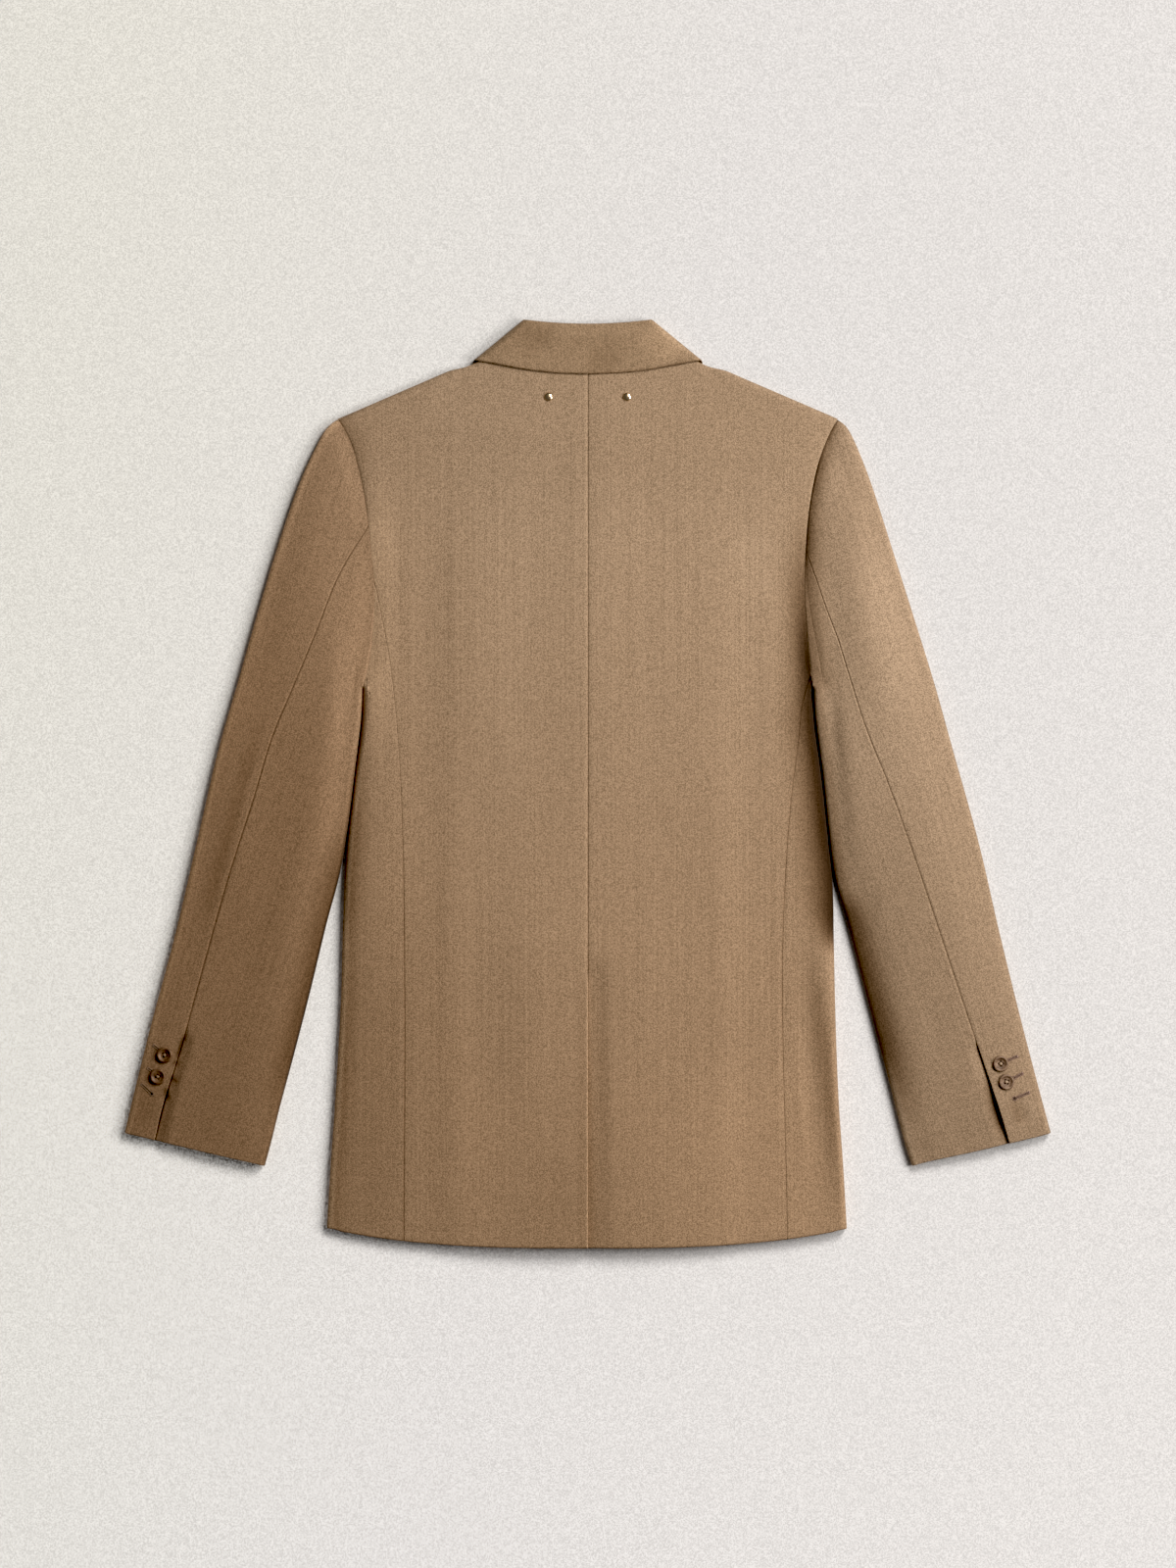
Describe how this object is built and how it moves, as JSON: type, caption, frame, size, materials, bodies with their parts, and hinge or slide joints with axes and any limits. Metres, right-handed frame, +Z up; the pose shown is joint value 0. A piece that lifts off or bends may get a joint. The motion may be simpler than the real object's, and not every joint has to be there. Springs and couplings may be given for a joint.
{
  "type": "double breasted blazer",
  "caption": "Double breasted blazer laid flat with its back up: seamed and vented back, side bodies, long sleeves with button cuffs, and a folded collar over overlapping fronts.",
  "frame": {"origin": "middle of the garment's outline, on the surface that it lies on", "axes": "+X towards the wearer's right, +Y from the hem to the collar, +Z up from the surface, out of the back"},
  "size_m": [0.7848, 0.786, 0.0122],
  "materials": {
    "cloth": "matt beige wool with a fine slubbed weave",
    "button": "mottled brown horn look, softly polished",
    "stud": "polished gold tone"
  },
  "bodies": {
    "root": {"back_left": "cloth", "back_right": "cloth", "side_left": "cloth", "side_right": "cloth", "sleeve_top_left": "cloth", "sleeve_top_right": "cloth", "sleeve_under_left": "cloth", "sleeve_under_right": "cloth", "collar_fall": "cloth", "collar_stand": "cloth", "front_left": "cloth", "front_right": "cloth", "lapel_left": "cloth", "lapel_right": "cloth", "cuff_button_left_1": "button", "cuff_button_left_2": "button", "cuff_button_right_1": "button", "cuff_button_right_2": "button", "front_button_1": "button", "front_button_2": "button", "front_button_3": "button", "front_button_4": "button", "front_button_5": "button", "front_button_6": "button", "stud_left": "stud", "stud_right": "stud"}
  },
  "joints": []
}
